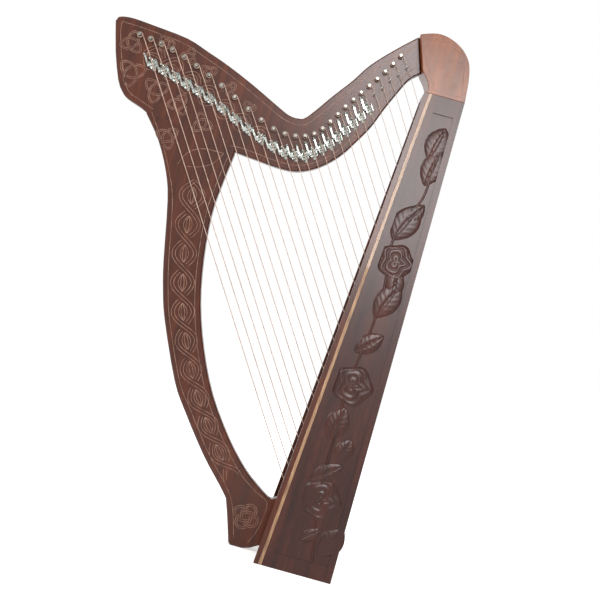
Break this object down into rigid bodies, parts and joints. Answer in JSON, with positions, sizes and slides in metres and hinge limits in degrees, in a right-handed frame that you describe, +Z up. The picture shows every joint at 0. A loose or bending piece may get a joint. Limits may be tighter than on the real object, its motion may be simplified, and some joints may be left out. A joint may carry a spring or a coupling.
{
  "type": "lever harp",
  "caption": "Small lever harp with a curved pillar, an engraved neck, slanted strings with sharping levers and a tapered carved soundbox that it stands on.",
  "frame": {"origin": "centre of the soundbox's bottom face, where the harp stands", "axes": "+Z up; +X from the pillar towards the soundbox's back; the strings and levers are on the -Y side of the neck"},
  "size_m": [0.5865, 0.24, 0.896],
  "materials": {
    "rosewood": "dark reddish-brown gloss lacquer",
    "birch_plywood": "tan satin plywood",
    "nickel": "bright nickel plate",
    "pin_steel": "satin steel",
    "nylon": "pale nylon string"
  },
  "bodies": {
    "frame": {"pillar": "rosewood", "neck": "rosewood", "shoulder_cap": "rosewood", "soundboard": "birch_plywood", "soundboard_edge_strips": "rosewood", "string_rib": "rosewood", "near_side_panel": "rosewood", "far_side_panel": "rosewood", "back_panel": "rosewood", "base_block": "rosewood", "strings": "nylon"},
    "tuning_pin_01": {"tuning_pin_01": "pin_steel"},
    "tuning_pin_02": {"tuning_pin_02": "pin_steel"},
    "tuning_pin_03": {"tuning_pin_03": "pin_steel"},
    "tuning_pin_04": {"tuning_pin_04": "pin_steel"},
    "tuning_pin_05": {"tuning_pin_05": "pin_steel"},
    "tuning_pin_06": {"tuning_pin_06": "pin_steel"},
    "tuning_pin_07": {"tuning_pin_07": "pin_steel"},
    "tuning_pin_08": {"tuning_pin_08": "pin_steel"},
    "tuning_pin_09": {"tuning_pin_09": "pin_steel"},
    "tuning_pin_10": {"tuning_pin_10": "pin_steel"},
    "tuning_pin_11": {"tuning_pin_11": "pin_steel"},
    "tuning_pin_12": {"tuning_pin_12": "pin_steel"},
    "tuning_pin_13": {"tuning_pin_13": "pin_steel"},
    "tuning_pin_14": {"tuning_pin_14": "pin_steel"},
    "tuning_pin_15": {"tuning_pin_15": "pin_steel"},
    "tuning_pin_16": {"tuning_pin_16": "pin_steel"},
    "tuning_pin_17": {"tuning_pin_17": "pin_steel"},
    "tuning_pin_18": {"tuning_pin_18": "pin_steel"},
    "tuning_pin_19": {"tuning_pin_19": "pin_steel"},
    "tuning_pin_20": {"tuning_pin_20": "pin_steel"},
    "tuning_pin_21": {"tuning_pin_21": "pin_steel"},
    "tuning_pin_22": {"tuning_pin_22": "pin_steel"},
    "tuning_pin_23": {"tuning_pin_23": "pin_steel"},
    "tuning_pin_24": {"tuning_pin_24": "pin_steel"},
    "tuning_pin_25": {"tuning_pin_25": "pin_steel"},
    "tuning_pin_26": {"tuning_pin_26": "pin_steel"},
    "tuning_pin_27": {"tuning_pin_27": "pin_steel"},
    "lever_06": {"lever_06": "nickel"},
    "lever_07": {"lever_07": "nickel"},
    "lever_08": {"lever_08": "nickel"},
    "lever_09": {"lever_09": "nickel"},
    "lever_10": {"lever_10": "nickel"},
    "lever_11": {"lever_11": "nickel"},
    "lever_12": {"lever_12": "nickel"},
    "lever_13": {"lever_13": "nickel"},
    "lever_14": {"lever_14": "nickel"},
    "lever_15": {"lever_15": "nickel"},
    "lever_16": {"lever_16": "nickel"},
    "lever_17": {"lever_17": "nickel"},
    "lever_18": {"lever_18": "nickel"},
    "lever_19": {"lever_19": "nickel"},
    "lever_20": {"lever_20": "nickel"},
    "lever_21": {"lever_21": "nickel"},
    "lever_22": {"lever_22": "nickel"},
    "lever_23": {"lever_23": "nickel"},
    "lever_24": {"lever_24": "nickel"},
    "lever_25": {"lever_25": "nickel"},
    "lever_26": {"lever_26": "nickel"},
    "lever_27": {"lever_27": "nickel"}
  },
  "joints": [
    {"name": "turn_tuning_pin_01", "type": "hinge", "parent": "frame", "child": "tuning_pin_01", "pos_m": [-0.05488, -0.012, 0.84755], "axis": [0, 1, 0], "continuous": true},
    {"name": "turn_tuning_pin_02", "type": "hinge", "parent": "frame", "child": "tuning_pin_02", "pos_m": [-0.06363, -0.012, 0.83148], "axis": [0, 1, 0], "continuous": true},
    {"name": "turn_tuning_pin_03", "type": "hinge", "parent": "frame", "child": "tuning_pin_03", "pos_m": [-0.07257, -0.012, 0.81582], "axis": [0, 1, 0], "continuous": true},
    {"name": "turn_tuning_pin_04", "type": "hinge", "parent": "frame", "child": "tuning_pin_04", "pos_m": [-0.082, -0.012, 0.80104], "axis": [0, 1, 0], "continuous": true},
    {"name": "turn_tuning_pin_05", "type": "hinge", "parent": "frame", "child": "tuning_pin_05", "pos_m": [-0.09159, -0.012, 0.78664], "axis": [0, 1, 0], "continuous": true},
    {"name": "turn_tuning_pin_06", "type": "hinge", "parent": "frame", "child": "tuning_pin_06", "pos_m": [-0.10114, -0.012, 0.77227], "axis": [0, 1, 0], "continuous": true},
    {"name": "turn_tuning_pin_07", "type": "hinge", "parent": "frame", "child": "tuning_pin_07", "pos_m": [-0.11062, -0.012, 0.75793], "axis": [0, 1, 0], "continuous": true},
    {"name": "turn_tuning_pin_08", "type": "hinge", "parent": "frame", "child": "tuning_pin_08", "pos_m": [-0.11991, -0.012, 0.74341], "axis": [0, 1, 0], "continuous": true},
    {"name": "turn_tuning_pin_09", "type": "hinge", "parent": "frame", "child": "tuning_pin_09", "pos_m": [-0.12857, -0.012, 0.72804], "axis": [0, 1, 0], "continuous": true},
    {"name": "turn_tuning_pin_10", "type": "hinge", "parent": "frame", "child": "tuning_pin_10", "pos_m": [-0.13737, -0.012, 0.71302], "axis": [0, 1, 0], "continuous": true},
    {"name": "turn_tuning_pin_11", "type": "hinge", "parent": "frame", "child": "tuning_pin_11", "pos_m": [-0.14664, -0.012, 0.69882], "axis": [0, 1, 0], "continuous": true},
    {"name": "turn_tuning_pin_12", "type": "hinge", "parent": "frame", "child": "tuning_pin_12", "pos_m": [-0.15734, -0.012, 0.68696], "axis": [0, 1, 0], "continuous": true},
    {"name": "turn_tuning_pin_13", "type": "hinge", "parent": "frame", "child": "tuning_pin_13", "pos_m": [-0.17075, -0.012, 0.67939], "axis": [0, 1, 0], "continuous": true},
    {"name": "turn_tuning_pin_14", "type": "hinge", "parent": "frame", "child": "tuning_pin_14", "pos_m": [-0.18634, -0.012, 0.67531], "axis": [0, 1, 0], "continuous": true},
    {"name": "turn_tuning_pin_15", "type": "hinge", "parent": "frame", "child": "tuning_pin_15", "pos_m": [-0.20385, -0.012, 0.67431], "axis": [0, 1, 0], "continuous": true},
    {"name": "turn_tuning_pin_16", "type": "hinge", "parent": "frame", "child": "tuning_pin_16", "pos_m": [-0.22383, -0.012, 0.67722], "axis": [0, 1, 0], "continuous": true},
    {"name": "turn_tuning_pin_17", "type": "hinge", "parent": "frame", "child": "tuning_pin_17", "pos_m": [-0.24725, -0.012, 0.68557], "axis": [0, 1, 0], "continuous": true},
    {"name": "turn_tuning_pin_18", "type": "hinge", "parent": "frame", "child": "tuning_pin_18", "pos_m": [-0.27252, -0.012, 0.6969], "axis": [0, 1, 0], "continuous": true},
    {"name": "turn_tuning_pin_19", "type": "hinge", "parent": "frame", "child": "tuning_pin_19", "pos_m": [-0.29878, -0.012, 0.70986], "axis": [0, 1, 0], "continuous": true},
    {"name": "turn_tuning_pin_20", "type": "hinge", "parent": "frame", "child": "tuning_pin_20", "pos_m": [-0.3248, -0.012, 0.72259], "axis": [0, 1, 0], "continuous": true},
    {"name": "turn_tuning_pin_21", "type": "hinge", "parent": "frame", "child": "tuning_pin_21", "pos_m": [-0.34931, -0.012, 0.7331], "axis": [0, 1, 0], "continuous": true},
    {"name": "turn_tuning_pin_22", "type": "hinge", "parent": "frame", "child": "tuning_pin_22", "pos_m": [-0.37319, -0.012, 0.74275], "axis": [0, 1, 0], "continuous": true},
    {"name": "turn_tuning_pin_23", "type": "hinge", "parent": "frame", "child": "tuning_pin_23", "pos_m": [-0.39629, -0.012, 0.75132], "axis": [0, 1, 0], "continuous": true},
    {"name": "turn_tuning_pin_24", "type": "hinge", "parent": "frame", "child": "tuning_pin_24", "pos_m": [-0.41793, -0.012, 0.75777], "axis": [0, 1, 0], "continuous": true},
    {"name": "turn_tuning_pin_25", "type": "hinge", "parent": "frame", "child": "tuning_pin_25", "pos_m": [-0.43823, -0.012, 0.76226], "axis": [0, 1, 0], "continuous": true},
    {"name": "turn_tuning_pin_26", "type": "hinge", "parent": "frame", "child": "tuning_pin_26", "pos_m": [-0.45745, -0.012, 0.76522], "axis": [0, 1, 0], "continuous": true},
    {"name": "turn_tuning_pin_27", "type": "hinge", "parent": "frame", "child": "tuning_pin_27", "pos_m": [-0.47615, -0.012, 0.76748], "axis": [0, 1, 0], "continuous": true},
    {"name": "flip_lever_06", "type": "hinge", "parent": "frame", "child": "lever_06", "pos_m": [-0.0815, -0.017, 0.75122], "axis": [0.8391, 0, 0.544], "range_deg": [0, 110]},
    {"name": "flip_lever_07", "type": "hinge", "parent": "frame", "child": "lever_07", "pos_m": [-0.09027, -0.017, 0.73581], "axis": [0.8391, 0, 0.544], "range_deg": [0, 110]},
    {"name": "flip_lever_08", "type": "hinge", "parent": "frame", "child": "lever_08", "pos_m": [-0.09936, -0.017, 0.72102], "axis": [0.8391, 0, 0.544], "range_deg": [0, 110]},
    {"name": "flip_lever_09", "type": "hinge", "parent": "frame", "child": "lever_09", "pos_m": [-0.10863, -0.017, 0.70662], "axis": [0.8391, 0, 0.544], "range_deg": [0, 110]},
    {"name": "flip_lever_10", "type": "hinge", "parent": "frame", "child": "lever_10", "pos_m": [-0.11787, -0.017, 0.69229], "axis": [0.8391, 0, 0.544], "range_deg": [0, 110]},
    {"name": "flip_lever_11", "type": "hinge", "parent": "frame", "child": "lever_11", "pos_m": [-0.1276, -0.017, 0.67883], "axis": [0.8391, 0, 0.544], "range_deg": [0, 110]},
    {"name": "flip_lever_12", "type": "hinge", "parent": "frame", "child": "lever_12", "pos_m": [-0.1384, -0.017, 0.66715], "axis": [0.8391, 0, 0.544], "range_deg": [0, 110]},
    {"name": "flip_lever_13", "type": "hinge", "parent": "frame", "child": "lever_13", "pos_m": [-0.14988, -0.017, 0.65664], "axis": [0.8391, 0, 0.544], "range_deg": [0, 110]},
    {"name": "flip_lever_14", "type": "hinge", "parent": "frame", "child": "lever_14", "pos_m": [-0.16271, -0.017, 0.64832], "axis": [0.8391, 0, 0.544], "range_deg": [0, 110]},
    {"name": "flip_lever_15", "type": "hinge", "parent": "frame", "child": "lever_15", "pos_m": [-0.17872, -0.017, 0.64503], "axis": [0.8391, 0, 0.544], "range_deg": [0, 110]},
    {"name": "flip_lever_16", "type": "hinge", "parent": "frame", "child": "lever_16", "pos_m": [-0.19663, -0.017, 0.6448], "axis": [0.8391, 0, 0.544], "range_deg": [0, 110]},
    {"name": "flip_lever_17", "type": "hinge", "parent": "frame", "child": "lever_17", "pos_m": [-0.21762, -0.017, 0.64944], "axis": [0.8391, 0, 0.544], "range_deg": [0, 110]},
    {"name": "flip_lever_18", "type": "hinge", "parent": "frame", "child": "lever_18", "pos_m": [-0.2404, -0.017, 0.65694], "axis": [0.8391, 0, 0.544], "range_deg": [0, 110]},
    {"name": "flip_lever_19", "type": "hinge", "parent": "frame", "child": "lever_19", "pos_m": [-0.26416, -0.017, 0.66608], "axis": [0.8391, 0, 0.544], "range_deg": [0, 110]},
    {"name": "flip_lever_20", "type": "hinge", "parent": "frame", "child": "lever_20", "pos_m": [-0.28858, -0.017, 0.67636], "axis": [0.8391, 0, 0.544], "range_deg": [0, 110]},
    {"name": "flip_lever_21", "type": "hinge", "parent": "frame", "child": "lever_21", "pos_m": [-0.31341, -0.017, 0.6874], "axis": [0.8391, 0, 0.544], "range_deg": [0, 110]},
    {"name": "flip_lever_22", "type": "hinge", "parent": "frame", "child": "lever_22", "pos_m": [-0.33762, -0.017, 0.69759], "axis": [0.8391, 0, 0.544], "range_deg": [0, 110]},
    {"name": "flip_lever_23", "type": "hinge", "parent": "frame", "child": "lever_23", "pos_m": [-0.3596, -0.017, 0.70446], "axis": [0.8391, 0, 0.544], "range_deg": [0, 110]},
    {"name": "flip_lever_24", "type": "hinge", "parent": "frame", "child": "lever_24", "pos_m": [-0.38074, -0.017, 0.71016], "axis": [0.8391, 0, 0.544], "range_deg": [0, 110]},
    {"name": "flip_lever_25", "type": "hinge", "parent": "frame", "child": "lever_25", "pos_m": [-0.40204, -0.017, 0.71623], "axis": [0.8391, 0, 0.544], "range_deg": [0, 110]},
    {"name": "flip_lever_26", "type": "hinge", "parent": "frame", "child": "lever_26", "pos_m": [-0.42309, -0.017, 0.72203], "axis": [0.8391, 0, 0.544], "range_deg": [0, 110]},
    {"name": "flip_lever_27", "type": "hinge", "parent": "frame", "child": "lever_27", "pos_m": [-0.44337, -0.017, 0.72675], "axis": [0.8391, 0, 0.544], "range_deg": [0, 110]}
  ]
}
